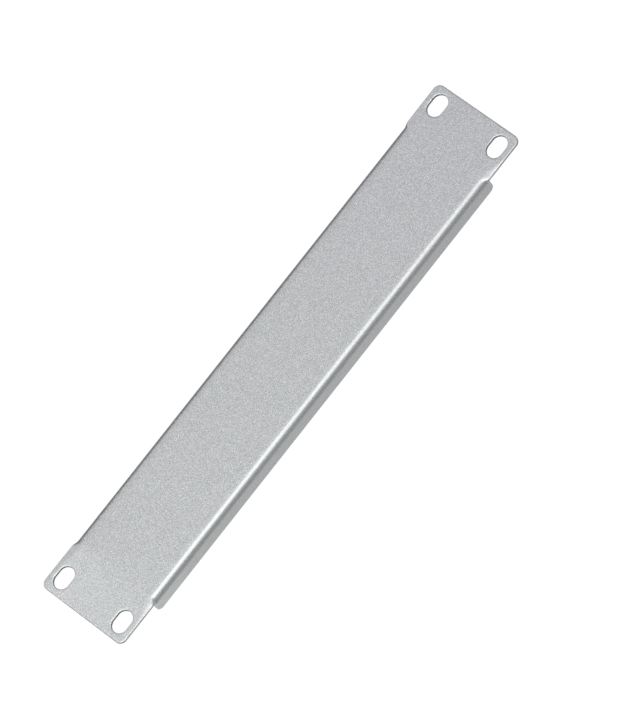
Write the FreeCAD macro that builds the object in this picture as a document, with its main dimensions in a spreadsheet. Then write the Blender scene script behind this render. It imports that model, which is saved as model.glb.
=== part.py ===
import FreeCAD, Part
import math
import os
import Sketcher
from FreeCAD import Vector

# ---------------------------------------------------------------------------
# Blanking panel for a 10-inch equipment rack, one rack unit high.
#
# One sheet of steel, punched and folded once along each long side.  The web
# faces -Y.  A flange is turned back (+Y) along the top and the bottom, and
# stops short of both ends, which leaves a flat ear at each end with two slots.
#
# Frame: X across the rack, Z up, -Y out of the rack.  The origin is the centre
# of the four-slot pattern, in the plane of the ears' rear face, which is the
# plane that meets the rack rails.
#
# One quarter (+X, +Z) is modelled and then mirrored twice.
# ---------------------------------------------------------------------------

doc = FreeCAD.newDocument("blanking_panel")

# --- driving dimensions, millimetres and degrees ----------------------------
sheet = doc.addObject("Spreadsheet::Sheet", "Dimensions")
rows = [
    ("panel_width", 252.0, "overall length across the two ears"),
    ("panel_height", 44.0, "overall height, one rack unit less clearance"),
    ("sheet_thickness", 1.2, "steel sheet with its coating"),
    ("overall_depth", 8.1, "front face to the free edge of a flange"),
    ("flange_length", 211.5, "length of each flange"),
    ("fold_length", 209.2, "length over which the fold has its full section"),
    ("fold_radius", 2.0, "outer radius of the fold"),
    ("lead_radius", 8.0, "outer radius of the soft lead-in to the fold"),
    ("lead_angle", 15.0, "turn of the lead-in before the tight part of the fold"),
    ("end_lead_angle", 3.0, "turn of the lead-in where the fold meets the ear"),
    ("end_fold_radius", 0.6, "outer radius of the fold where it meets the ear"),
    ("end_inner_radius", 0.25, "inner radius of the fold where it meets the ear"),
    ("fold_foot", 4.2, "height of the strip below the top edge that holds the fold"),
    ("fold_reach", 1.2, "how far behind the ears' rear face the fold strip reaches"),
    ("ear_corner_radius", 3.0, "corner radius of the ears"),
    ("flange_corner_radius", 2.7, "free corner radius of the flanges"),
    ("slot_spacing_across", 236.525, "slot centres across the rack"),
    ("slot_spacing_up", 31.75, "slot centres up the rack"),
    ("slot_length", 9.9, "overall slot length"),
    ("slot_width", 6.9, "slot width"),
    ("slot_rim_radius", 0.2, "coated front rim of the slots"),
    ("front_edge_radius", 0.2, "coated edge on the front"),
    ("rear_edge_radius", 0.12, "coated edge on the rear"),
]
for number, (alias, value, note) in enumerate(rows, start=1):
    sheet.set("A%d" % number, alias)
    sheet.set("B%d" % number, repr(value))
    sheet.set("C%d" % number, note)
    sheet.setAlias("B%d" % number, alias)
doc.recompute()


def dim(alias):
    return float(getattr(sheet, alias))


body = doc.addObject("PartDesign::Body", "blanking_panel")
body.Label = "blanking_panel"
doc.recompute()

C = Sketcher.Constraint
t = dim("sheet_thickness")
half_h = dim("panel_height") / 2
rear = dim("overall_depth") - t


def origin_feature(role):
    for feature in body.Origin.OriginFeatures:
        if feature.Role == role:
            return feature
    raise RuntimeError("no origin feature " + role)


def new_sketch(name, role, offset=None):
    sketch = body.newObject("Sketcher::SketchObject", name)
    sketch.AttachmentSupport = [(origin_feature(role), "")]
    sketch.MapMode = "FlatFace"
    if offset:
        sketch.setExpression("AttachmentOffset.Base.z", offset)
    doc.recompute()
    return sketch


def bind(sketch, constraint, name, expression):
    index = sketch.addConstraint(constraint)
    sketch.renameConstraint(index, name)
    sketch.setExpression("Constraints." + name, expression)


def finish_sketch(sketch):
    doc.recompute()
    if sketch.solve() != 0:
        raise RuntimeError(sketch.Name + " does not solve")
    if sketch.DoF != 0:
        raise RuntimeError(sketch.Name + " has free dimensions")


def check(feature):
    doc.recompute()
    if "Invalid" in feature.State or "Error" in feature.State:
        raise RuntimeError(feature.Name + " failed: " + str(feature.State))
    if feature.Shape.isNull() or not feature.Shape.isValid():
        raise RuntimeError(feature.Name + " has no valid shape")
    return feature.Shape.Volume


# --- section of the sheet across the fold, in the YZ plane -------------------
# Sketch axes: first = Y (rearward), second = Z (up).  The front of the web is
# at Y = -sheet_thickness and its rear at Y = 0.  Each skin is a straight web,
# a soft lead-in arc, the tight arc of the fold and a straight flange.

def fold_section(sketch, foot, outer, inner):
    def skin(y_face, top, r1, angle, r2):
        a = math.radians(angle)
        foot_of_arc = Vector(y_face, top - r1 * math.sin(a) - r2 * (1 - math.sin(a)), 0)
        c1 = foot_of_arc + Vector(r1, 0, 0)
        c2 = c1 + Vector(-(r1 - r2) * math.cos(a), (r1 - r2) * math.sin(a), 0)
        return foot_of_arc, c1, c2, c2 + Vector(0, r2, 0)

    reach = dim("fold_reach")
    r1, angle, r2 = [value for value, _ in outer]
    q1, turn, q2 = [value for value, _ in inner]
    s0, c1, c2, s2 = skin(-t, half_h, r1, angle, r2)
    i0, d1, d2, i2 = skin(0.0, half_h - t, q1, turn, q2)

    def line(a, b):
        return sketch.addGeometry(Part.LineSegment(a, b), False)

    def arc(centre, r, a0, a1):
        circle = Part.Circle(centre, Vector(0, 0, 1), r)
        return sketch.addGeometry(Part.ArcOfCircle(circle, a0, a1), False)

    a = math.radians(angle)
    b = math.radians(turn)
    web_out = line(Vector(-t, foot, 0), s0)
    lead_out = arc(c1, r1, math.pi - a, math.pi)
    fold_out = arc(c2, r2, math.pi / 2, math.pi - a)
    flange_out = line(s2, Vector(reach, half_h, 0))
    reach_line = line(Vector(reach, half_h, 0), Vector(reach, half_h - t, 0))
    flange_in = line(Vector(reach, half_h - t, 0), i2)
    fold_in = arc(d2, q2, math.pi / 2, math.pi - b)
    lead_in = arc(d1, q1, math.pi - b, math.pi)
    web_in = line(i0, Vector(0, foot, 0))
    foot_line = line(Vector(0, foot, 0), Vector(-t, foot, 0))

    # the arcs run anticlockwise, so their first point is the one nearer the flange
    sketch.addConstraint([
        C("Tangent", web_out, 2, lead_out, 2),
        C("Tangent", lead_out, 1, fold_out, 2),
        C("Tangent", fold_out, 1, flange_out, 1),
        C("Coincident", flange_out, 2, reach_line, 1),
        C("Coincident", reach_line, 2, flange_in, 1),
        C("Tangent", flange_in, 2, fold_in, 1),
        C("Tangent", fold_in, 2, lead_in, 1),
        C("Tangent", lead_in, 2, web_in, 1),
        C("Coincident", web_in, 2, foot_line, 1),
        C("Coincident", foot_line, 2, web_out, 1),
        C("Vertical", web_out), C("Vertical", web_in), C("Vertical", reach_line),
        C("Horizontal", flange_out), C("Horizontal", flange_in), C("Horizontal", foot_line),
        C("PointOnObject", web_in, 2, -2),
    ])
    bind(sketch, C("DistanceX", web_out, 1, web_in, 2, t),
         "web_thickness", "Dimensions.sheet_thickness")
    bind(sketch, C("DistanceY", reach_line, 2, reach_line, 1, t),
         "flange_thickness", "Dimensions.sheet_thickness")
    bind(sketch, C("DistanceY", -1, 1, reach_line, 1, half_h),
         "half_height", "Dimensions.panel_height / 2")
    bind(sketch, C("DistanceX", -1, 1, reach_line, 1, reach),
         "reach", "Dimensions.fold_reach")
    if foot == 0:
        sketch.addConstraint(C("PointOnObject", web_in, 2, -1))
    else:
        bind(sketch, C("DistanceY", -1, 1, web_in, 2, foot),
             "foot", "Dimensions.panel_height / 2 - Dimensions.fold_foot")
    bind(sketch, C("Radius", lead_out, r1), "lead_outer", outer[0][1])
    bind(sketch, C("Angle", lead_out, a), "lead_turn_outer", outer[1][1])
    bind(sketch, C("Radius", fold_out, r2), "fold_outer", outer[2][1])
    bind(sketch, C("Radius", lead_in, q1), "lead_inner", inner[0][1])
    bind(sketch, C("Angle", lead_in, b), "lead_turn_inner", inner[1][1])
    bind(sketch, C("Radius", fold_in, q2), "fold_inner", inner[2][1])
    finish_sketch(sketch)


full_outer = [(dim("lead_radius"), "Dimensions.lead_radius"),
              (dim("lead_angle"), "Dimensions.lead_angle * 1deg"),
              (dim("fold_radius"), "Dimensions.fold_radius")]
full_inner = [(dim("lead_radius") - t, "Dimensions.lead_radius - Dimensions.sheet_thickness"),
              (dim("lead_angle"), "Dimensions.lead_angle * 1deg"),
              (dim("fold_radius") - t, "Dimensions.fold_radius - Dimensions.sheet_thickness")]
end_outer = [(dim("lead_radius"), "Dimensions.lead_radius"),
             (dim("end_lead_angle"), "Dimensions.end_lead_angle * 1deg"),
             (dim("end_fold_radius"), "Dimensions.end_fold_radius")]
end_inner = [(dim("lead_radius") - t, "Dimensions.lead_radius - Dimensions.sheet_thickness"),
             (dim("end_lead_angle"), "Dimensions.end_lead_angle * 1deg"),
             (dim("end_inner_radius"), "Dimensions.end_inner_radius")]
foot = half_h - dim("fold_foot")

# --- web and fold, from the middle of the panel to the run-out ---------------
section = new_sketch("web_section", "YZ_Plane")
fold_section(section, 0, full_outer, full_inner)
web = body.newObject("PartDesign::Pad", "web_and_fold")
web.Profile = section
web.setExpression("Length", "Dimensions.fold_length / 2")
volume = check(web)

# --- flange plate, with its rounded free corner ------------------------------
flange_outline = new_sketch("flange_outline", "XY_Plane", "Dimensions.panel_height / 2")
half_flange = dim("flange_length") / 2
reach = dim("fold_reach")
r = dim("flange_corner_radius")
add = flange_outline.addGeometry
sides = [
    add(Part.LineSegment(Vector(0, reach, 0), Vector(half_flange, reach, 0)), False),
    add(Part.LineSegment(Vector(half_flange, reach, 0), Vector(half_flange, rear - r, 0)), False),
    add(Part.ArcOfCircle(Part.Circle(Vector(half_flange - r, rear - r, 0), Vector(0, 0, 1), r),
                         0, math.pi / 2), False),
    add(Part.LineSegment(Vector(half_flange - r, rear, 0), Vector(0, rear, 0)), False),
    add(Part.LineSegment(Vector(0, rear, 0), Vector(0, reach, 0)), False),
]
flange_outline.addConstraint([
    C("Coincident", sides[0], 2, sides[1], 1),
    C("Tangent", sides[1], 2, sides[2], 1),
    C("Tangent", sides[2], 2, sides[3], 1),
    C("Coincident", sides[3], 2, sides[4], 1),
    C("Coincident", sides[4], 2, sides[0], 1),
    C("Horizontal", sides[0]), C("Vertical", sides[1]), C("Horizontal", sides[3]),
    C("PointOnObject", sides[4], 1, -2), C("PointOnObject", sides[4], 2, -2),
])
bind(flange_outline, C("DistanceX", -1, 1, sides[0], 2, half_flange),
     "half_flange", "Dimensions.flange_length / 2")
bind(flange_outline, C("DistanceY", -1, 1, sides[4], 1, rear),
     "free_edge", "Dimensions.overall_depth - Dimensions.sheet_thickness")
bind(flange_outline, C("DistanceY", -1, 1, sides[0], 1, reach), "reach", "Dimensions.fold_reach")
bind(flange_outline, C("Radius", sides[2], r), "corner", "Dimensions.flange_corner_radius")
finish_sketch(flange_outline)
flange = body.newObject("PartDesign::Pad", "flange_plate")
flange.Profile = flange_outline
flange.setExpression("Length", "Dimensions.sheet_thickness")
flange.Reversed = True
grown = check(flange)
if not grown > volume + 100:
    raise RuntimeError("the flange added nothing")
volume = grown

# --- ear: a flat plate with a tongue that reaches under the run-out ----------
ear_start = dim("flange_length") / 2
tongue = dim("fold_length") / 2
ear_end = dim("panel_width") / 2
r = dim("ear_corner_radius")
ear_outline = new_sketch("ear_outline", "XZ_Plane")
add = ear_outline.addGeometry
path = [Vector(tongue, 0, 0), Vector(ear_end, 0, 0), Vector(ear_end, half_h - r, 0),
        Vector(ear_end - r, half_h, 0), Vector(ear_start, half_h, 0),
        Vector(ear_start, foot, 0), Vector(tongue, foot, 0)]
sides = [
    add(Part.LineSegment(path[0], path[1]), False),
    add(Part.LineSegment(path[1], path[2]), False),
    add(Part.ArcOfCircle(Part.Circle(Vector(ear_end - r, half_h - r, 0), Vector(0, 0, 1), r),
                         0, math.pi / 2), False),
    add(Part.LineSegment(path[3], path[4]), False),
    add(Part.LineSegment(path[4], path[5]), False),
    add(Part.LineSegment(path[5], path[6]), False),
    add(Part.LineSegment(path[6], path[0]), False),
]
ear_outline.addConstraint([
    C("Coincident", sides[0], 2, sides[1], 1),
    C("Tangent", sides[1], 2, sides[2], 1),
    C("Tangent", sides[2], 2, sides[3], 1),
    C("Coincident", sides[3], 2, sides[4], 1),
    C("Coincident", sides[4], 2, sides[5], 1),
    C("Coincident", sides[5], 2, sides[6], 1),
    C("Coincident", sides[6], 2, sides[0], 1),
    C("Vertical", sides[1]), C("Horizontal", sides[3]), C("Vertical", sides[4]),
    C("Horizontal", sides[5]), C("Vertical", sides[6]),
    C("PointOnObject", sides[0], 1, -1), C("PointOnObject", sides[0], 2, -1),
])
bind(ear_outline, C("DistanceX", -1, 1, sides[0], 1, tongue),
     "tongue_start", "Dimensions.fold_length / 2")
bind(ear_outline, C("DistanceX", -1, 1, sides[0], 2, ear_end),
     "ear_end", "Dimensions.panel_width / 2")
bind(ear_outline, C("DistanceX", -1, 1, sides[4], 1, ear_start),
     "ear_start", "Dimensions.flange_length / 2")
bind(ear_outline, C("DistanceY", -1, 1, sides[3], 2, half_h),
     "ear_top", "Dimensions.panel_height / 2")
bind(ear_outline, C("DistanceY", -1, 1, sides[5], 1, foot),
     "tongue_top", "Dimensions.panel_height / 2 - Dimensions.fold_foot")
bind(ear_outline, C("Radius", sides[2], r), "corner", "Dimensions.ear_corner_radius")
finish_sketch(ear_outline)
ear = body.newObject("PartDesign::Pad", "ear_plate")
ear.Profile = ear_outline
ear.setExpression("Length", "Dimensions.sheet_thickness")
grown = check(ear)
if not grown > volume + 100:
    raise RuntimeError("the ear added nothing")
volume = grown

# --- run-out of the fold: full section to the tight corner at the flat ear ---
start = new_sketch("run_out_start", "YZ_Plane", "Dimensions.fold_length / 2")
fold_section(start, foot, full_outer, full_inner)
end = new_sketch("run_out_end", "YZ_Plane", "Dimensions.flange_length / 2")
fold_section(end, foot, end_outer, end_inner)
run_out = body.newObject("PartDesign::AdditiveLoft", "fold_run_out")
run_out.Profile = start
run_out.Sections = [end]
run_out.Ruled = True
grown = check(run_out)
if not grown > volume + 1:
    raise RuntimeError("the run-out added nothing")
volume = grown

# --- slot --------------------------------------------------------------------
slot_sketch = new_sketch("slot_outline", "XZ_Plane")
sx = dim("slot_spacing_across") / 2
sz = dim("slot_spacing_up") / 2
sr = dim("slot_width") / 2
straight = (dim("slot_length") - dim("slot_width")) / 2
add = slot_sketch.addGeometry
slot = [
    add(Part.ArcOfCircle(Part.Circle(Vector(sx + straight, sz, 0), Vector(0, 0, 1), sr),
                         -math.pi / 2, math.pi / 2), False),
    add(Part.LineSegment(Vector(sx + straight, sz + sr, 0), Vector(sx - straight, sz + sr, 0)), False),
    add(Part.ArcOfCircle(Part.Circle(Vector(sx - straight, sz, 0), Vector(0, 0, 1), sr),
                         math.pi / 2, 3 * math.pi / 2), False),
    add(Part.LineSegment(Vector(sx - straight, sz - sr, 0), Vector(sx + straight, sz - sr, 0)), False),
]
middle = add(Part.Point(Vector(sx, sz, 0)), True)
slot_sketch.addConstraint([
    C("Tangent", slot[0], 2, slot[1], 1),
    C("Tangent", slot[1], 2, slot[2], 1),
    C("Tangent", slot[2], 2, slot[3], 1),
    C("Tangent", slot[3], 2, slot[0], 1),
    C("Equal", slot[0], slot[2]),
    C("Horizontal", slot[1]),
    C("Symmetric", slot[0], 3, slot[2], 3, middle, 1),
])
bind(slot_sketch, C("DistanceX", -1, 1, middle, 1, sx),
     "centre_across", "Dimensions.slot_spacing_across / 2")
bind(slot_sketch, C("DistanceY", -1, 1, middle, 1, sz),
     "centre_up", "Dimensions.slot_spacing_up / 2")
bind(slot_sketch, C("Radius", slot[0], sr), "end_radius", "Dimensions.slot_width / 2")
bind(slot_sketch, C("DistanceX", slot[2], 3, slot[0], 3, 2 * straight),
     "straight", "Dimensions.slot_length - Dimensions.slot_width")
finish_sketch(slot_sketch)
slot_cut = body.newObject("PartDesign::Pocket", "slot")
slot_cut.Profile = slot_sketch
slot_cut.Type = "ThroughAll"
slot_cut.Reversed = True
left = check(slot_cut)
if not volume - left > 0.95 * t * (math.pi * sr * sr + 4 * straight * sr):
    raise RuntimeError("the slot did not cut through")
volume = left


# --- rounded edges -----------------------------------------------------------
def edges_where(feature, test):
    names = []
    for number, edge in enumerate(feature.Shape.Edges, start=1):
        middle = edge.valueAt((edge.FirstParameter + edge.LastParameter) / 2)
        points = [vertex.Point for vertex in edge.Vertexes] + [middle]
        if all(test(p) for p in points):
            names.append("Edge%d" % number)
    if not names:
        raise RuntimeError("no edges found on " + feature.Name)
    return names


def near(a, b):
    return abs(a - b) < 1e-4


def fillet(name, base, names, radius):
    feature = body.newObject("PartDesign::Fillet", name)
    feature.Base = (base, names)
    feature.setExpression("Radius", radius)
    return feature


def in_slot(p):
    return abs(p.x - sx) < straight + sr + 0.01 and abs(p.z - sz) < sr + 0.01


def on_ear_outline(p):
    ear_r = dim("ear_corner_radius")
    on_arc = (p.x > ear_end - ear_r and p.z > half_h - ear_r and
              near(math.hypot(p.x - ear_end + ear_r, p.z - half_h + ear_r), ear_r))
    return near(p.x, ear_end) or (near(p.z, half_h) and p.x > ear_start - 1e-4) or on_arc


rim = fillet("slot_front_rim", slot_cut,
             edges_where(slot_cut, lambda p: near(p.y, -t) and in_slot(p)),
             "Dimensions.slot_rim_radius")
volume = check(rim)
back_rim = fillet("slot_rear_rim", rim,
                  edges_where(rim, lambda p: near(p.y, 0) and in_slot(p)),
                  "Dimensions.rear_edge_radius")
volume = check(back_rim)
ear_front = fillet("ear_front_edge", back_rim,
                   edges_where(back_rim, lambda p: near(p.y, -t) and on_ear_outline(p)),
                   "Dimensions.front_edge_radius")
volume = check(ear_front)


# The edges behind the ears and round the flanges are rounded by a small
# spandrel, a square corner less a quarter circle, swept along the edge.  It
# stops just short of the inner corner between a flange and an ear.
clear = 0.2


def spandrel(sketch, across, up, side_1, side_2, radius, radius_name, across_name, up_name):
    """(across, up) is the centre of the rounding; the sides point out of the sheet."""
    add = sketch.addGeometry
    m = Vector(across, up, 0)
    a = m + Vector(0, side_2 * radius, 0)
    b = m + Vector(side_1 * radius, 0, 0)
    far = m + Vector(side_1 * (radius + clear), side_2 * (radius + clear), 0)
    a_out = Vector(a.x, far.y, 0)
    b_out = Vector(far.x, b.y, 0)
    middle = {(1, 1): 1, (-1, 1): 3, (-1, -1): 5, (1, -1): 7}[(side_1, side_2)] * math.pi / 4
    arc = add(Part.ArcOfCircle(Part.Circle(m, Vector(0, 0, 1), radius),
                               middle - math.pi / 4, middle + math.pi / 4), False)
    arc_a, arc_b = (2, 1) if side_1 * side_2 > 0 else (1, 2)
    lines = [add(Part.LineSegment(a, a_out), False), add(Part.LineSegment(a_out, far), False),
             add(Part.LineSegment(far, b_out), False), add(Part.LineSegment(b_out, b), False)]
    sketch.addConstraint([
        C("Coincident", arc, arc_a, lines[0], 1),
        C("Coincident", lines[0], 2, lines[1], 1),
        C("Coincident", lines[1], 2, lines[2], 1),
        C("Coincident", lines[2], 2, lines[3], 1),
        C("Coincident", lines[3], 2, arc, arc_b),
        C("Vertical", lines[0]), C("Horizontal", lines[1]),
        C("Vertical", lines[2]), C("Horizontal", lines[3]),
        C("Vertical", arc, 3, arc, arc_a), C("Horizontal", arc, 3, arc, arc_b),
        C("Distance", lines[0], clear), C("Distance", lines[3], clear),
    ])
    bind(sketch, C("Radius", arc, radius), "edge_radius", radius_name)
    bind(sketch, C("DistanceX", -1, 1, arc, 3, across), "centre_across", across_name)
    if up > 0:
        bind(sketch, C("DistanceY", -1, 1, arc, 3, up), "centre_up", up_name)
    else:
        bind(sketch, C("DistanceY", arc, 3, -1, 1, -up), "centre_down", up_name)
    finish_sketch(sketch)


def rounded_path(sketch, origin_point, corner_1, corner_2, far_end, radius, names):
    """Straight, quarter turn, straight; `names` are the binding expressions."""
    add = sketch.addGeometry
    first, arc, second = [add(g, False) for g in (
        Part.LineSegment(origin_point, corner_1),
        Part.ArcOfCircle(Part.Circle(Vector(*names["centre"]), Vector(0, 0, 1), radius),
                         0, math.pi / 2),
        Part.LineSegment(corner_2, far_end))]
    head, tail = names["arc_ends"]
    sketch.addConstraint([
        C("Tangent", first, 2, arc, head),
        C("Tangent", arc, tail, second, 1),
        C(names["first"], first), C(names["second"], second),
        C("PointOnObject", first, 1, names["starts_on"]),
    ])
    bind(sketch, C("Radius", arc, radius), "turn", names["radius"])
    bind(sketch, C("DistanceX", -1, 1, arc, 1, arc_x(sketch, arc)), "outer_across", names["across"])
    bind(sketch, C("DistanceY", -1, 1, arc, 2, arc_y(sketch, arc)), "outer_up", names["up"])
    kind, point_value, expression = names["far"]
    bind(sketch, C(kind, -1, 1, second, 2, point_value), "far_end", expression)
    finish_sketch(sketch)


def arc_x(sketch, index):
    return sketch.Geometry[index].StartPoint.x


def arc_y(sketch, index):
    return sketch.Geometry[index].EndPoint.y


def round_edge(name, profile, path, least):
    before = body.Tip.Shape.Volume
    feature = body.newObject("PartDesign::SubtractivePipe", name)
    feature.Profile = profile
    feature.Spine = (path, [])
    left = check(feature)
    if not least < before - left < 20 * least:
        raise RuntimeError(name + " did not cut: %g" % (before - left))
    return feature


front_r = dim("front_edge_radius")
rear_r = dim("rear_edge_radius")
fr = dim("flange_corner_radius")
er = dim("ear_corner_radius")

# free edge of the flange, its rounded corner and its end
path = new_sketch("flange_edge_path", "XY_Plane", "Dimensions.panel_height / 2")
rounded_path(path, Vector(0, rear, 0), Vector(half_flange - fr, rear, 0),
             Vector(half_flange, rear - fr, 0), Vector(half_flange, front_r + clear, 0), fr,
             {"centre": (half_flange - fr, rear - fr, 0), "arc_ends": (2, 1),
              "first": "Horizontal", "second": "Vertical", "starts_on": -2,
              "radius": "Dimensions.flange_corner_radius",
              "across": "Dimensions.flange_length / 2",
              "up": "Dimensions.overall_depth - Dimensions.sheet_thickness",
              "far": ("DistanceY", front_r + clear, "Dimensions.front_edge_radius + 0.2")})
profile = new_sketch("flange_outer_edge_section", "YZ_Plane")
spandrel(profile, rear - front_r, half_h - front_r, 1, 1, front_r,
         "Dimensions.front_edge_radius",
         "Dimensions.overall_depth - Dimensions.sheet_thickness - Dimensions.front_edge_radius",
         "Dimensions.panel_height / 2 - Dimensions.front_edge_radius")
round_edge("flange_outer_edge", profile, path, 0.5)
profile = new_sketch("flange_inner_edge_section", "YZ_Plane")
spandrel(profile, rear - rear_r, half_h - t + rear_r, 1, -1, rear_r,
         "Dimensions.rear_edge_radius",
         "Dimensions.overall_depth - Dimensions.sheet_thickness - Dimensions.rear_edge_radius",
         "Dimensions.panel_height / 2 - Dimensions.sheet_thickness + Dimensions.rear_edge_radius")
round_edge("flange_inner_edge", profile, path, 0.2)

# rear edge of the ear: up the end, round the corner and along the top
path = new_sketch("ear_rear_edge_path", "XZ_Plane")
rounded_path(path, Vector(ear_end, 0, 0), Vector(ear_end, half_h - er, 0),
             Vector(ear_end - er, half_h, 0), Vector(ear_start + front_r + clear, half_h, 0), er,
             {"centre": (ear_end - er, half_h - er, 0), "arc_ends": (1, 2),
              "first": "Vertical", "second": "Horizontal", "starts_on": -1,
              "radius": "Dimensions.ear_corner_radius",
              "across": "Dimensions.panel_width / 2",
              "up": "Dimensions.panel_height / 2",
              "far": ("DistanceX", ear_start + front_r + clear,
                      "Dimensions.flange_length / 2 + Dimensions.front_edge_radius + 0.2")})
profile = new_sketch("ear_rear_edge_section", "XY_Plane")
spandrel(profile, ear_end - rear_r, -rear_r, 1, 1, rear_r,
         "Dimensions.rear_edge_radius",
         "Dimensions.panel_width / 2 - Dimensions.rear_edge_radius",
         "Dimensions.rear_edge_radius")
round_edge("ear_rear_edge", profile, path, 0.05)

# --- the other three quarters ------------------------------------------------
for name, role in (("both_ears", "YZ_Plane"), ("both_flanges", "XY_Plane")):
    before = body.Tip.Shape.Volume
    mirrored = body.newObject("PartDesign::Mirrored", name)
    mirrored.TransformMode = "Whole shape"
    mirrored.MirrorPlane = (origin_feature(role), [""])
    body.Tip = mirrored
    if not near(check(mirrored) / before, 2.0):
        raise RuntimeError(name + " did not double the sheet")

body.Placement = FreeCAD.Placement(Vector(0, 0, 0), FreeCAD.Rotation())
doc.recompute()

# --- checks and export -------------------------------------------------------
for item in doc.Objects:
    if "Invalid" in item.State or "Error" in item.State:
        raise RuntimeError(item.Name + " failed: " + str(item.State))
panel = body.Shape
if panel.isNull() or not panel.isValid() or len(panel.Solids) != 1:
    raise RuntimeError("the panel is not one valid solid")
panel = panel.Solids[0]
box = panel.optimalBoundingBox(False, False)
for value, wanted in ((box.XLength, dim("panel_width")), (box.YLength, dim("overall_depth")),
                      (box.ZLength, dim("panel_height"))):
    if abs(value - wanted) > 0.01:
        raise RuntimeError("overall size %.3f is not %.3f" % (value, wanted))
print("panel: %.3f x %.3f x %.3f mm, %.1f mm3, %d faces, centre of mass %s" % (
    box.XLength, box.YLength, box.ZLength, panel.Volume, len(panel.Faces),
    tuple(round(c, 3) for c in panel.CenterOfMass)))

os.makedirs("parts", exist_ok=True)
panel.exportStep("parts/blanking_panel.step")
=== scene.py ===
import math

import bpy
from mathutils import Matrix, Vector
from mathutils.geometry import delaunay_2d_cdt


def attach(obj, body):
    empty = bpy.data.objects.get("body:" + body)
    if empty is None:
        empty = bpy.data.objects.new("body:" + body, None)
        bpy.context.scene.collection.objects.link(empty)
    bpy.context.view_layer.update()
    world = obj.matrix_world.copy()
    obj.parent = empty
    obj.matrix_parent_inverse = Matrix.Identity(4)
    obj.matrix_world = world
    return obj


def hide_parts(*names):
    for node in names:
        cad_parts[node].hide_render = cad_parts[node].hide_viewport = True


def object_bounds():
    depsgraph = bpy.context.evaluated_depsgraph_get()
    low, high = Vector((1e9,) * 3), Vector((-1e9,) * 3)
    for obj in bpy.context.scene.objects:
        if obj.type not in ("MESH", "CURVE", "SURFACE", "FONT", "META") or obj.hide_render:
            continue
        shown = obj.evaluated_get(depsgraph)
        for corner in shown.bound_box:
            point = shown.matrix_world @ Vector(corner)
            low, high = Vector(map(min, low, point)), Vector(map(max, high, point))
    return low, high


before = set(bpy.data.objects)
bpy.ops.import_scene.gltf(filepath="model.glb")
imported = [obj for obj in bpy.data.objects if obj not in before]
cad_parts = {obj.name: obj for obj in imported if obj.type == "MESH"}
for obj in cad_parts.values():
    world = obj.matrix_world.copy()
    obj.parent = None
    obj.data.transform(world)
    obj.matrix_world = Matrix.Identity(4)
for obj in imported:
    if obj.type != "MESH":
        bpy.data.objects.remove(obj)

cad_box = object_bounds()

MM = 0.001

# ---------------------------------------------------------------------------
# Camera
# ---------------------------------------------------------------------------
# Position and axes in the row frame, millimetres.  The panel stands upright;
# the camera looks down on its front from the upper left and is rolled.
cam_data = bpy.data.cameras.new("camera")
camera = bpy.data.objects.new("camera", cam_data)
bpy.context.scene.collection.objects.link(camera)
bpy.context.scene.camera = camera
cam_data.sensor_width = 36.0
cam_data.sensor_fit = "AUTO"
cam_data.lens = 365.482
cam_data.clip_start, cam_data.clip_end = 0.05, 100.0
rotation = Matrix(((-0.61729226, -0.78205523, 0.08567308),
                   (0.30545269, -0.33859540, -0.88997293),
                   (0.72501649, -0.52320433, 0.44789320)))
camera.matrix_world = Matrix.Translation(Vector((236.464, -2551.504, 1296.957)) * MM) @ rotation.to_4x4()

# ---------------------------------------------------------------------------
# The folded sheet
# ---------------------------------------------------------------------------
# All in millimetres in the row frame.  One quarter (+x, +z) is built from flat
# patches, fold strips and rounded edge strips, each with its own normals, and
# mirrored to the other three.
T = 1.2                      # sheet thickness
HZ = 22.0                    # half height
XE = 126.0                   # half length
REAR = 6.9                   # flange free edge, behind the ears' rear face
XF = 105.75                  # half length of a flange
R_LEAD, A_LEAD, R_FOLD = 8.0, 15.0, 2.0
R_EAR, R_FREE = 3.0, 2.7
SLOT_X, SLOT_Z, SLOT_R, SLOT_S = 118.2625, 15.875, 3.45, 1.5
R_FRONT, R_RIM, R_FLANGE, R_BACK = 0.17, 0.17, 0.08, 0.12  # coated edges
X_RUN0, X_RUN1 = 103.4, 106.5  # run-out of the fold, into the ear


def smooth(a, b, x):
    k = min(1.0, max(0.0, (x - a) / (b - a)))
    return k * k * (3 - 2 * k)


A_EASE, W_EASE = 1.6, 1.9    # the web eases into the fold: turn in degrees, width
FOLD = ([math.radians(A_EASE) * (k / 4) ** 2 for k in range(4)] +
        [math.radians(A_EASE + (A_LEAD - A_EASE) * k / 9) for k in range(9)] +
        [math.radians(A_LEAD + (90 - A_LEAD) * k / 16) for k in range(17)])


def cut_edge(a, width, droop, r):
    """A punched edge as (distance from the edge, depth under the skin) where the
    skin has turned by a: a shallow roll-over, steepening to droop, then a radius r."""
    d = math.radians(droop)
    depth = d * width / 3
    if a <= d:
        t = math.sqrt(a / d)
        return r * (1 - math.sin(d)) + width * (1 - t), depth * t ** 3
    return r * (1 - math.sin(a)), depth + r * (math.cos(d) - math.cos(a))


EAR_CUT = (0.9, 8.0, R_FRONT)
SLOT_CUT = (1.1, 8.0, R_RIM)
X_FLAT = 116.0               # the run-out has died away by here


def full_point(y_face, top, r1, r2, a, ease):
    a1 = math.radians(A_LEAD)
    z0 = top - r1 * math.sin(a1) - r2 * (1 - math.sin(a1))
    if ease:
        a0 = math.radians(A_EASE)
        if a < a0:
            t = math.sqrt(a / a0)
            return y_face + a0 * W_EASE / 3 * t ** 3, z0 + r1 * math.sin(a0) - W_EASE * (1 - t)
        y_face += a0 * W_EASE / 3 - r1 * (1 - math.cos(a0))
    if a <= a1:
        return y_face + r1 * (1 - math.cos(a)), z0 + r1 * math.sin(a)
    cy = y_face + r1 - (r1 - r2) * math.cos(a1)
    cz = z0 + (r1 - r2) * math.sin(a1)
    return cy - r2 * math.cos(a), cz + r2 * math.sin(a)


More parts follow.
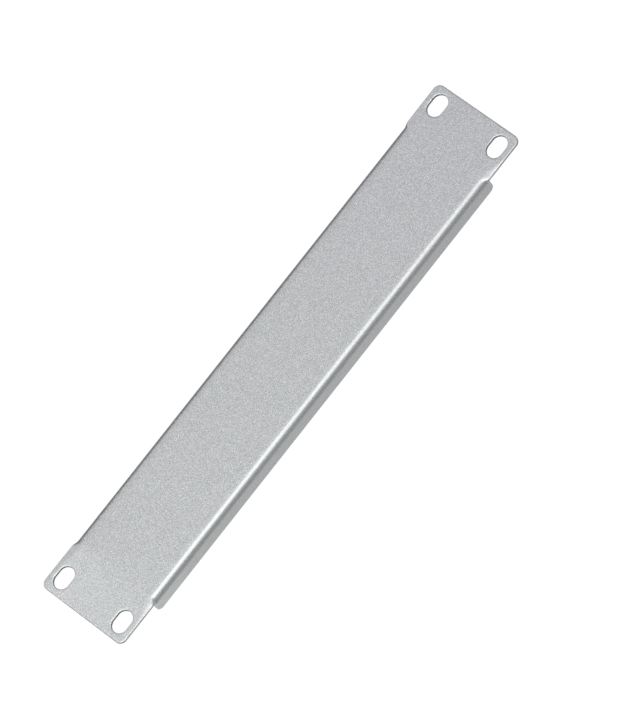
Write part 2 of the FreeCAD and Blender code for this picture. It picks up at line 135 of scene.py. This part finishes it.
def inner_end(a):
    return 0.2 * (1 - math.cos(a)), HZ - T - 0.2 * (1 - math.sin(a))


def ear_cut_at(x):
    """The ear's punched edge; next to the fold it is dragged down over more of its width."""
    k = smooth(105.6, X_FLAT, x)
    return EAR_CUT[0] + (1 - k) * 4.3, EAR_CUT[1] - (1 - k) * 1.5, EAR_CUT[2]


def profile_point(x, a, inner):
    face, top, r1, r2 = ((0.0, HZ - T, R_LEAD - T, R_FOLD - T) if inner else
                         (-T, HZ, R_LEAD, R_FOLD))
    b = smooth(X_RUN0, X_RUN1, x)
    fy, fz = full_point(face, top, r1, r2, a, not inner)
    if inner:
        ey, ez = inner_end(a)
    else:
        inset, depth = cut_edge(a, *ear_cut_at(x))
        ey, ez = depth - T, HZ - inset
    return fy + b * (ey - fy), fz + b * (ez - fz)


def fold_profile(x, inner=False):
    """[(point, outward normal)] round the fold at x, from the web to the flange."""
    out = []
    for a in FOLD:
        y, z = profile_point(x, a, inner)
        y0, z0 = profile_point(x - 0.01, a, inner)
        y1, z1 = profile_point(x + 0.01, a, inner)
        ny, nz = -math.cos(a), math.sin(a)
        slope = ((y1 - y0) * ny + (z1 - z0) * nz) / 0.02
        n = Vector((-slope, ny, nz)).normalized()
        out.append((Vector((x, y, z)), -n if inner else n))
    return out


corners = []                 # every face: [(point, normal), ...]


def face(*pts):
    """A face of (point, normal) pairs.  Corners that coincide are dropped."""
    kept = []
    for p in pts:
        if all((p[0] - q[0]).length > 1e-5 for q in kept):
            kept.append(p)
    if len(kept) >= 3:
        corners.append(kept)


def strip(rows):
    """Quads between successive rows of (point, normal)."""
    for a, b in zip(rows, rows[1:]):
        for k in range(len(a) - 1):
            face(a[k], b[k], b[k + 1], a[k + 1])


def inside(p, loop):
    hit = False
    for (x1, y1), (x2, y2) in zip(loop, loop[1:] + loop[:1]):
        if (y1 > p[1]) != (y2 > p[1]) and p[0] < (x2 - x1) * (p[1] - y1) / (y2 - y1) + x1:
            hit = not hit
    return hit


def flat_patch(outline, holes, normal, drop):
    """Triangulates a flat outline with holes.  drop is the axis left out of the plane."""
    keep = [k for k in range(3) if k != drop]

    def flat(loop):
        clean = []
        for p in loop:
            if not clean or (p - clean[-1]).length > 1e-5:
                clean.append(p)
        if (clean[0] - clean[-1]).length < 1e-5:
            clean.pop()
        return clean

    loops = [flat(outline)] + [flat(h) for h in holes]
    points, edges = [], []
    for loop in loops:
        start = len(points)
        points += loop
        edges += [(start + k, start + (k + 1) % len(loop)) for k in range(len(loop))]
    flat_points = [Vector((p[keep[0]], p[keep[1]])) for p in points]
    verts, _, tris, ids, _, _ = delaunay_2d_cdt(flat_points, edges, [], 0, 1e-6, True)
    plane = points[0][drop]
    rings = [[(p[keep[0]], p[keep[1]]) for p in loop] for loop in loops]

    def back(v, source):
        if source:
            return points[source[0]]
        p = Vector((0, 0, 0))
        p[keep[0]], p[keep[1]], p[drop] = v.x, v.y, plane
        return p

    n = Vector(normal)
    for tri in tris:
        middle = sum((verts[k] for k in tri), Vector((0, 0))) / 3
        if inside(middle, rings[0]) and not any(inside(middle, r) for r in rings[1:]):
            if abs((verts[tri[1]] - verts[tri[0]]).cross(verts[tri[2]] - verts[tri[0]])) > 1e-9:
                face(*[(back(verts[k], ids[k]), n) for k in tri])


def arc_points(count):
    return [math.pi / 2 * k / count for k in range(count + 1)]


# --- fold, outside and inside -------------------------------------------------
run = [0.0, 26.0, 52.0, 78.0, 96.0, X_RUN0, 103.6, 103.8, 104.0, 104.2, 104.4, 104.6, 104.8, 105.0,
       105.2, 105.4, 105.58, XF, 105.9, 106.05, 106.2, 106.35, X_RUN1, 106.9]
top_run = run + [107.4, 107.9, 108.4, 109.0, 109.7, 110.4, 111.2, 112.0, 112.8, 113.6, 114.4, 115.2,
                 X_FLAT, 118.0, XE - R_EAR]
outer_rows = [fold_profile(x) for x in top_run]
strip(outer_rows)
inner_run = [x for x in run if x <= XF + 1e-9]
inner_rows = [fold_profile(x, inner=True) for x in inner_run]
strip(inner_rows)

# --- ear: rounded front edge round the corner and down the end ------------------
ear_line = [(Vector((XE - R_EAR + R_EAR * math.sin(a), 0, HZ - R_EAR + R_EAR * math.cos(a))),
             Vector((math.sin(a), 0, math.cos(a)))) for a in arc_points(20)]
ear_line += [(Vector((XE, 0, z)), Vector((1, 0, 0))) for z in (14.0, 9.0, 4.0, 0.0)]


def ear_front(b, m):
    rows = []
    for a in FOLD:
        inset, depth = cut_edge(a, *EAR_CUT)
        p = b - m * inset
        rows.append((Vector((p.x, depth - T, p.z)),
                     Vector((0, -1, 0)) * math.cos(a) + m * math.sin(a)))
    return rows


ear_front_rows = [ear_front(b, m) for b, m in ear_line]
strip(ear_front_rows)
BACK = arc_points(5)


def back_radius(x):
    return R_BACK * smooth(XF, XF + 0.6, x)


def ear_back(b, m, r):
    rows = []
    for a in BACK:           # from the wall to the rear face
        p = b - m * r * (1 - math.cos(a))
        rows.append((Vector((p.x, -r + r * math.sin(a), p.z)),
                     m * math.cos(a) + Vector((0, 1, 0)) * math.sin(a)))
    return rows


back_xs = [XF, XF + 0.1, XF + 0.2, XF + 0.3, XF + 0.45, XF + 0.6, 109.0, 113.0, 118.0, XE - R_EAR]
back_line = [(Vector((x, 0, HZ)), Vector((0, 0, 1))) for x in back_xs[:-1]] + ear_line
ear_back_rows = [ear_back(b, m, back_radius(b.x)) for b, m in back_line]
strip(ear_back_rows)
# wall between the two rounded edges, round the corner and down the end
n_top = len(back_xs) - 1
for k in range(len(ear_line) - 1):
    f0, f1 = ear_front_rows[k][-1], ear_front_rows[k + 1][-1]
    b0, b1 = ear_back_rows[n_top + k][0], ear_back_rows[n_top + k + 1][0]
    face(f0, f1, b1, b0)

# --- flange: rounded free edge, corner and end -----------------------------------
free_line = [(Vector((x, REAR, 0)), Vector((0, 1, 0))) for x in (0.0, 26.0, 52.0, 78.0)]
free_line += [(Vector((XF - R_FREE + R_FREE * math.sin(a), REAR - R_FREE + R_FREE * math.cos(a), 0)),
               Vector((math.sin(a), math.cos(a), 0))) for a in arc_points(14)]
end_ys = [3.3, 2.4, 1.7, 1.3, 1.05, 0.9, 0.75, 0.6, 0.5, 0.35, 0.2, 0.1, 0.0]
free_line += [(Vector((XF, y, 0)), Vector((1, 0, 0))) for y in end_ys]
OUT = arc_points(8)


def fade_outer(b):
    return R_FLANGE * (smooth(0.0, 0.9, b.y) if b.y < 0.9 else 1.0)


def fade_inner(b):
    return R_BACK * (smooth(0.35, 1.3, b.y) if b.y < 1.3 else 1.0)


def flange_edge(b, m, r, top, up):
    """From the flat skin at height top, round to the wall.  up is +1 outside, -1 inside."""
    rows = []
    for a in OUT:
        p = b - m * r * (1 - math.sin(a))
        rows.append((Vector((p.x, p.y, top - up * r * (1 - math.cos(a)))),
                     Vector((0, 0, up)) * math.cos(a) + m * math.sin(a)))
    return rows


flange_out = [flange_edge(b, m, fade_outer(b), HZ, 1) for b, m in free_line]
flange_in = [flange_edge(b, m, fade_inner(b), HZ - T, -1) for b, m in free_line]
strip(flange_out)
inner_count = len([b for b, m in free_line if b.y > 0.345])
strip(flange_in[:inner_count])
end_start = 4 + 14           # index in free_line where the straight end begins
for k in range(end_start):
    face(flange_out[k][-1], flange_out[k + 1][-1], flange_in[k + 1][-1], flange_in[k][-1])
# flat end of the flange, down to the ear's rear face and round the inside of the fold
end_inner = [p for p, n in inner_rows[-1]]
outline = [flange_out[k][-1][0] for k in range(end_start, len(free_line))]
outline += [Vector((XF, 0.0, end_inner[0].z))]
outline += end_inner
outline += [flange_in[k][-1][0] for k in reversed(range(end_start, inner_count))]
flat_patch(outline, [], (1, 0, 0), 0)

# --- flat skins --------------------------------------------------------------
# slot rims
slot_line = []
for k in range(25):
    a = -math.pi / 2 + math.pi * k / 24
    slot_line.append((Vector((SLOT_X + SLOT_S + SLOT_R * math.cos(a), 0, SLOT_Z + SLOT_R * math.sin(a))),
                      Vector((-math.cos(a), 0, -math.sin(a)))))
for k in range(25):
    a = math.pi / 2 + math.pi * k / 24
    slot_line.append((Vector((SLOT_X - SLOT_S + SLOT_R * math.cos(a), 0, SLOT_Z + SLOT_R * math.sin(a))),
                      Vector((-math.cos(a), 0, -math.sin(a)))))
RIM = ([math.radians(8.0) * (k / 8) ** 2 for k in range(8)] +
       [math.radians(8.0 + 82.0 * k / 8) for k in range(9)])


def slot_rows(b, m):
    """Front rim, wall and rear rim at one place; m points into the opening."""
    rows = []
    for a in RIM:
        inset, depth = cut_edge(a, *SLOT_CUT)
        p = b - m * inset
        rows.append((Vector((p.x, depth - T, p.z)),
                     Vector((0, -1, 0)) * math.cos(a) + m * math.sin(a)))
    for a in BACK:
        p = b - m * R_BACK * (1 - math.cos(a))
        rows.append((Vector((p.x, -R_BACK * (1 - math.sin(a)), p.z)),
                     m * math.cos(a) + Vector((0, 1, 0)) * math.sin(a)))
    return rows


rim_rows = [slot_rows(b, m) for b, m in slot_line]
strip(rim_rows + rim_rows[:1])

# front face
outline = [Vector((0, -T, 0))]
outline += [r[0][0] for r in reversed(ear_front_rows)]
outline += [r[0][0] for r in reversed(outer_rows)]
flat_patch(outline, [[r[0][0] for r in rim_rows]], (0, -1, 0), 1)

# rear face
outline = [Vector((0, 0, 0))]
outline += [r[-1][0] for r in reversed(ear_back_rows)]
outline += [r[0][0] for r in reversed(inner_rows)]
flat_patch(outline, [[r[-1][0] for r in rim_rows]], (0, 1, 0), 1)

# top of the flange and of the ear's wall
outline = [r[-1][0] for r in outer_rows]
outline += [r[0][0] for r in reversed(ear_back_rows[:n_top + 1])]
outline += [r[0][0] for r in reversed(flange_out)]
flat_patch(outline, [], (0, 0, 1), 2)

# inside of the flange
outline = [r[-1][0] for r in inner_rows]
outline += [flange_in[k][0][0] for k in reversed(range(inner_count))]
flat_patch(outline, [], (0, 0, -1), 2)

# --- four quarters, welded -----------------------------------------------------
def edge_shade_amount(p, n):
    """0 on the skins, 1 on the punched edges: painted shade, how far the base colour is darkened there
    in place of the dark reflections and shade on the edges and walls.
    """
    x, y = abs(p.x), p.y
    if x > XF + 1e-6:
        slot = math.hypot(max(0.0, abs(x - SLOT_X) - SLOT_S), abs(p.z) - SLOT_Z) < SLOT_R + 1.0
        rim = smooth(0.0, 0.3, -n.y)          # the front rim, not the wall behind it
        if slot:
            return smooth(0.10, 0.35, math.hypot(n.x, n.z)) * (0.75 + 0.25 * rim)
        return (smooth(0.20, 0.45, math.hypot(n.x, n.z)) * smooth(XF, XF + 1.2, x) *
                (0.29 + abs(n.x) * (0.20 + 0.51 * rim)))
    if y > REAR - 0.3:
        return 0.25 * smooth(0.20, 0.45, math.hypot(n.x, n.y))
    return 0.25 * smooth(0.20, 0.45, abs(n.x)) if y > 0.3 else 0.0


def graininess(p, n):
    """1 on the flat skins; the coat is smoother on the upper fold, coarser on the lower."""
    s = abs(n.z)
    turned = smooth(0.0, 0.04, s)
    if p.y > 3.0:
        return 1.0
    if p.z > 0:
        return 1.0 - 0.48 * turned * (1 - smooth(0.2, 0.5, s))
    return 1.0 + 0.50 * turned * (1 - smooth(0.06, 0.18, s)) * (abs(p.x) < XF + 1e-6)


index, points, faces, normals, edge_shade_values, grains = {}, [], [], [], [], []
for sx in (1, -1):
    for sz in (1, -1):
        for pts in corners:
            ring = [(Vector((p.x * sx, p.y, p.z * sz)), Vector((n.x * sx, n.y, n.z * sz)))
                    for p, n in pts]
            flat_normal = Vector((0, 0, 0))
            for k in range(len(ring)):
                a, b = ring[k][0], ring[(k + 1) % len(ring)][0]
                flat_normal += a.cross(b)
            if flat_normal.dot(sum((n for _, n in ring), Vector((0, 0, 0)))) < 0:
                ring.reverse()
            one = []
            for p, n in ring:
                key = (round(p.x * 20000), round(p.y * 20000), round(p.z * 20000))
                if key not in index:
                    index[key] = len(points)
                    points.append(p * MM)
                one.append((index[key], n))
            if len({k for k, _ in one}) == len(one):
                faces.append([k for k, _ in one])
                normals += [n for _, n in one]
                edge_shade_values += [edge_shade_amount(points[k] / MM, n) for k, n in one]
                grains += [graininess(points[k] / MM, n) for k, n in one]

mesh = bpy.data.meshes.new("folded_sheet")
mesh.from_pydata(points, [], faces)
mesh.polygons.foreach_set("use_smooth", [True] * len(mesh.polygons))
mesh.normals_split_custom_set(normals)
mesh.update()
# painted shade on the punched edges, kept per corner to darken the base colour
mesh.attributes.new("painted_edge_shade", "FLOAT_COLOR", "CORNER").data.foreach_set(
    "color", [c for v in edge_shade_values for c in (v, v, v, 1.0)])
mesh.attributes.new("coat_grain", "FLOAT_COLOR", "CORNER").data.foreach_set(
    "color", [c for v in grains for c in (v, v, v, 1.0)])
panel = bpy.data.objects.new("folded_sheet", mesh)
bpy.context.scene.collection.objects.link(panel)
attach(panel, "root")
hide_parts("blanking_panel")

use = {}
for f in faces:
    for a, b in zip(f, f[1:] + f[:1]):
        use[(min(a, b), max(a, b))] = use.get((min(a, b), max(a, b)), 0) + 1
print("faces", len(faces), "open or bad edges", sum(1 for v in use.values() if v != 2))

# ---------------------------------------------------------------------------
# Finish: silver powder coat
# ---------------------------------------------------------------------------
coat = bpy.data.materials.new("silver_powder_coat")
coat.use_nodes = True
tree = coat.node_tree
tree.nodes.clear()


def node(kind, **settings):
    n = tree.nodes.new(kind)
    for key, value in settings.items():
        setattr(n, key, value)
    return n


def link(a, b):
    tree.links.new(a, b)


out = node("ShaderNodeOutputMaterial")
shader = node("ShaderNodeBsdfPrincipled")
link(shader.outputs["BSDF"], out.inputs["Surface"])
shader.inputs["Metallic"].default_value = 0.92
shader.inputs["IOR"].default_value = 1.5

coords = node("ShaderNodeTexCoord")
in_mm = node("ShaderNodeVectorMath", operation="SCALE")
in_mm.inputs["Scale"].default_value = 1000.0
link(coords.outputs["Object"], in_mm.inputs[0])

# metal flakes in the coat: each cell leans its own way
flakes = node("ShaderNodeTexVoronoi", voronoi_dimensions="3D", feature="F1")
flakes.inputs["Scale"].default_value = 1 / 0.20
link(in_mm.outputs[0], flakes.inputs["Vector"])
lean = node("ShaderNodeVectorMath", operation="SUBTRACT")
lean.inputs[1].default_value = (0.5, 0.5, 0.5)
link(flakes.outputs["Color"], lean.inputs[0])
amount = node("ShaderNodeVectorMath", operation="SCALE")
link(lean.outputs[0], amount.inputs[0])
# how coarse the grain is: it changes over the folds
coarse = node("ShaderNodeAttribute", attribute_type="GEOMETRY", attribute_name="coat_grain")
lean_scale = node("ShaderNodeMath", operation="MULTIPLY")
lean_scale.inputs[1].default_value = 0.080
link(coarse.outputs["Fac"], lean_scale.inputs[0])
link(lean_scale.outputs[0], amount.inputs["Scale"])

# the powder's own fine relief, and a slight orange peel
peel = node("ShaderNodeTexNoise", noise_dimensions="3D")
peel.inputs["Scale"].default_value = 1 / 1.6
peel.inputs["Detail"].default_value = 2.0
link(in_mm.outputs[0], peel.inputs["Vector"])
peel_bump = node("ShaderNodeBump")
peel_bump.inputs["Strength"].default_value = 1.0
peel_bump.inputs["Distance"].default_value = 0.000012
link(peel.outputs["Fac"], peel_bump.inputs["Height"])
grain = node("ShaderNodeTexNoise", noise_dimensions="3D")
grain.inputs["Scale"].default_value = 1 / 0.38
grain.inputs["Detail"].default_value = 1.0
link(in_mm.outputs[0], grain.inputs["Vector"])
grain_bump = node("ShaderNodeBump")
grain_bump.inputs["Strength"].default_value = 1.0
grain_bump.inputs["Distance"].default_value = 0.000001
link(grain.outputs["Fac"], grain_bump.inputs["Height"])
link(peel_bump.outputs["Normal"], grain_bump.inputs["Normal"])

leaning = node("ShaderNodeVectorMath", operation="ADD")
link(grain_bump.outputs["Normal"], leaning.inputs[0])
link(amount.outputs[0], leaning.inputs[1])
unit = node("ShaderNodeVectorMath", operation="NORMALIZE")
link(leaning.outputs[0], unit.inputs[0])
link(unit.outputs[0], shader.inputs["Normal"])

# colour: cool silver, each flake a little lighter or darker
tone = node("ShaderNodeSeparateColor")
link(flakes.outputs["Color"], tone.inputs[0])
ramp = node("ShaderNodeValToRGB")
ramp.color_ramp.elements[0].position = 0.0
ramp.color_ramp.elements[0].color = (0.422, 0.434, 0.4305, 1)
ramp.color_ramp.elements[1].position = 1.0
ramp.color_ramp.elements[1].color = (0.6085, 0.626, 0.621, 1)
off_middle = node("ShaderNodeMath", operation="SUBTRACT")
off_middle.inputs[1].default_value = 0.5
link(tone.outputs[2], off_middle.inputs[0])
spread = node("ShaderNodeMath", operation="MULTIPLY_ADD")
spread.inputs[2].default_value = 0.5
link(off_middle.outputs[0], spread.inputs[0])
link(coarse.outputs["Fac"], spread.inputs[1])
link(spread.outputs[0], ramp.inputs["Fac"])

# painted shade: the base colour is darkened over the punched edges, slot walls and flange edges
edge = node("ShaderNodeAttribute", attribute_type="GEOMETRY", attribute_name="painted_edge_shade")
edge_shade_scale = node("ShaderNodeMapRange")
edge_shade_scale.inputs["To Min"].default_value = 1.0
edge_shade_scale.inputs["To Max"].default_value = 0.15
link(edge.outputs["Fac"], edge_shade_scale.inputs["Value"])
colour = node("ShaderNodeVectorMath", operation="SCALE")
link(ramp.outputs["Color"], colour.inputs[0])
link(edge_shade_scale.outputs["Result"], colour.inputs["Scale"])
link(colour.outputs[0], shader.inputs["Base Color"])

rough = node("ShaderNodeMapRange")
rough.inputs["To Min"].default_value = 0.25
rough.inputs["To Max"].default_value = 0.30
link(peel.outputs["Fac"], rough.inputs["Value"])
link(rough.outputs["Result"], shader.inputs["Roughness"])
mesh.materials.append(coat)

# ---------------------------------------------------------------------------
# Floor and light
# ---------------------------------------------------------------------------
floor_z = cad_box[0][2]
floor_mesh = bpy.data.meshes.new("floor")
half = 6.0
floor_mesh.from_pydata([(-half, -half, floor_z), (half, -half, floor_z),
                        (half, half, floor_z), (-half, half, floor_z)], [], [(0, 1, 2, 3)])
floor = bpy.data.objects.new("floor", floor_mesh)
bpy.context.scene.collection.objects.link(floor)
pale = bpy.data.materials.new("pale_floor")
pale.use_nodes = True
pale_shader = pale.node_tree.nodes["Principled BSDF"]
pale_shader.inputs["Base Color"].default_value = (0.03, 0.03, 0.03, 1)
pale_shader.inputs["Roughness"].default_value = 0.9
pale_shader.inputs["Specular IOR Level"].default_value = 0.0
pale_shader.inputs["Emission Color"].default_value = (1, 1, 1, 1)
pale_shader.inputs["Emission Strength"].default_value = 1.0
floor.visible_glossy = False
floor_mesh.materials.append(pale)

# The studio is a soft surround: how bright it is goes round in one circle over
# the panel, from the front (0 degrees) over the top (90) to the back (180) and
# underneath (-90).  A long low window in front gives the fold its highlight.
SURROUND = [(-180, 0.40, 0.992, 0.985), (-165, 0.46, 0.992, 0.985), (-150, 0.50, 0.992, 0.985),
            (-130, 0.48), (-112, 0.36), (-92, 0.18), (-72, 0.08), (-58, 0.10), (-50, 0.36, 1.0, 1.004), (-43, 0.62, 1.0, 1.004),
            (-36, 0.58, 1.0, 1.004), (-28, 0.32, 1.0, 1.004), (-20, 0.44, 1.0, 1.004),
            (-14, 0.50, 1.0, 1.004), (-8, 0.50), (-3, 0.46), (2, 0.36), (8, 0.26, 0.996, 0.99),
            (16, 0.27, 0.996, 0.99), (24, 0.42, 0.996, 0.99), (34, 0.42, 0.996, 0.99),
            (46, 0.22, 0.996, 0.99), (60, 0.25, 0.992, 0.985), (80, 0.28, 0.992, 0.985),
            (100, 0.26, 0.992, 0.985), (120, 0.39, 0.992, 0.985), (140, 0.34, 0.992, 0.985),
            (160, 0.40, 0.992, 0.985), (180, 0.40, 0.992, 0.985)]
WINDOW = [(-180, 0.0), (-26, 0.0), (-20, 0.34), (-14, 0.98), (-8, 1.25), (-3, 0.85), (2, 0.32),
          (8, 0.05), (12, 0.0), (180, 0.0)]
FILL = [(-180, 0.22), (-150, 0.20), (-138, 0.06), (-54, 0.06), (-44, 0.20), (0, 0.22), (180, 0.22)]
REFLECTANCE = 0.52
TOP = 1.65
# from the -x side (-1) to the +x side (1): level, red, blue
SIDES = [(-1.0, 0.33, 1.0, 1.04), (-0.5, 0.42, 1.0, 1.09), (-0.30, 0.62, 1.005, 1.12),
         (-0.20, 0.81, 1.01, 1.11), (-0.12, 0.95, 1.008, 1.07), (-0.05, 1.06, 1.0, 0.995),
         (0.0, 1.13, 1.0, 1.0), (0.06, 1.12, 1.0, 1.0), (0.14, 0.92, 1.0, 1.0), (0.22, 0.74, 1.0, 1.0),
         (0.32, 0.62, 1.0, 1.0), (0.50, 0.50, 1.0, 1.0), (1.0, 0.40, 1.0, 1.0)]
WINDOW_SIDES = [(-1.0, 0.0, 1.0, 1.0), (-0.36, 0.0, 1.0, 1.0), (-0.20, 0.18, 1.0, 1.0),
                (-0.12, 0.60, 1.0, 1.0), (-0.06, 1.01, 1.0, 1.0), (0.0, 1.15, 1.0, 1.0),
                (0.24, 1.12, 1.0, 1.0), (0.40, 0.45, 1.0, 1.0), (0.55, 0.0, 1.0, 1.0),
                (1.0, 0.0, 1.0, 1.0)]
FILL_SIDES = [(-1.0, 1.1, 1.0, 1.02), (-0.52, 1.1, 1.0, 1.02), (-0.38, 0.0, 1.0, 1.0),
              (0.38, 0.0, 1.0, 1.0), (0.52, 1.1, 1.0, 1.0), (1.0, 1.1, 1.0, 1.0)]
world = bpy.data.worlds.new("studio")
bpy.context.scene.world = world
world.use_nodes = True
wt = world.node_tree
background = wt.nodes["Background"]
where = wt.nodes.new("ShaderNodeTexCoord")
split = wt.nodes.new("ShaderNodeSeparateXYZ")
wt.links.new(where.outputs["Generated"], split.inputs[0])
ahead = wt.nodes.new("ShaderNodeMath")
ahead.operation = "MULTIPLY"
ahead.inputs[1].default_value = -1.0
wt.links.new(split.outputs["Y"], ahead.inputs[0])
angle = wt.nodes.new("ShaderNodeMath")
angle.operation = "ARCTAN2"
wt.links.new(split.outputs["Z"], angle.inputs[0])
wt.links.new(ahead.outputs[0], angle.inputs[1])
turn = wt.nodes.new("ShaderNodeMapRange")
turn.inputs["From Min"].default_value = -math.pi
turn.inputs["From Max"].default_value = math.pi
wt.links.new(angle.outputs[0], turn.inputs["Value"])
across = wt.nodes.new("ShaderNodeMapRange")
across.inputs["From Min"].default_value = -1.0
across.inputs["From Max"].default_value = 1.0
wt.links.new(split.outputs["X"], across.inputs["Value"])


def ramp_node(factor, table):
    """A colour ramp over 0 to 1 from (place, (r, g, b))."""
    ramp = wt.nodes.new("ShaderNodeValToRGB")
    stops = ramp.color_ramp.elements
    while len(stops) > 1:
        stops.remove(stops[0])
    for k, (place, colour) in enumerate(table):
        stop = stops[0] if k == 0 else stops.new(place)
        stop.position = place
        stop.color = (*colour, 1)
    wt.links.new(factor, ramp.inputs["Fac"])
    return ramp.outputs["Color"]


def glow(round_table, side_table):
    """Brightness round the circle, times brightness from side to side."""
    ring = []
    for d, v, *tint in round_table:
        red, blue = tint or (1.0, 1.0)
        ring.append(((d + 180) / 360, (v * red / TOP, v / TOP, v * blue / TOP)))
    ring = ramp_node(turn.outputs["Result"], ring)
    side = ramp_node(across.outputs["Result"],
                     [((x + 1) / 2, (v * red / 1.2, v / 1.2, v * blue / 1.2))
                      for x, v, red, blue in side_table])
    both = wt.nodes.new("ShaderNodeVectorMath")
    both.operation = "MULTIPLY"
    wt.links.new(ring, both.inputs[0])
    wt.links.new(side, both.inputs[1])
    return both.outputs[0]


def plus(a, b):
    total = wt.nodes.new("ShaderNodeVectorMath")
    total.operation = "ADD"
    wt.links.new(a, total.inputs[0])
    wt.links.new(b, total.inputs[1])
    return total.outputs[0]


everything = plus(plus(glow(SURROUND, SIDES), glow(WINDOW, WINDOW_SIDES)), glow(FILL, FILL_SIDES))
wt.links.new(everything, background.inputs["Color"])
background.inputs["Strength"].default_value = 1.2 * TOP / REFLECTANCE


def softbox(name, place, aim, size, power, colour=(1, 1, 1), glossy=True):
    data = bpy.data.lights.new(name, "AREA")
    data.shape = "RECTANGLE"
    data.size, data.size_y = size
    data.energy = power
    data.color = colour
    lamp = bpy.data.objects.new(name, data)
    bpy.context.scene.collection.objects.link(lamp)
    lamp.location = place
    lamp.rotation_euler = (Vector(aim) - Vector(place)).to_track_quat("-Z", "Y").to_euler()
    lamp.visible_camera = False
    lamp.visible_glossy = glossy
    return lamp


# two small reflectors beside the +x end, one in front and low, one behind
def panel_light(name, place, aim, size, radiance):
    area = size[0] * size[1]
    return softbox(name, place, aim, size, radiance * math.pi * area)


panel_light("front_card", (0.117, -0.070, floor_z + 0.0005), (0.117, -0.070, 1.0),
            (0.028, 0.130), 0.12)
panel_light("back_card", (0.150, 0.185, 0.115), (0.105, 0.003, 0.022), (0.14, 0.12), 0.17)

bpy.context.scene.view_settings.view_transform = "Standard"
bpy.context.scene.cycles.use_denoising = False

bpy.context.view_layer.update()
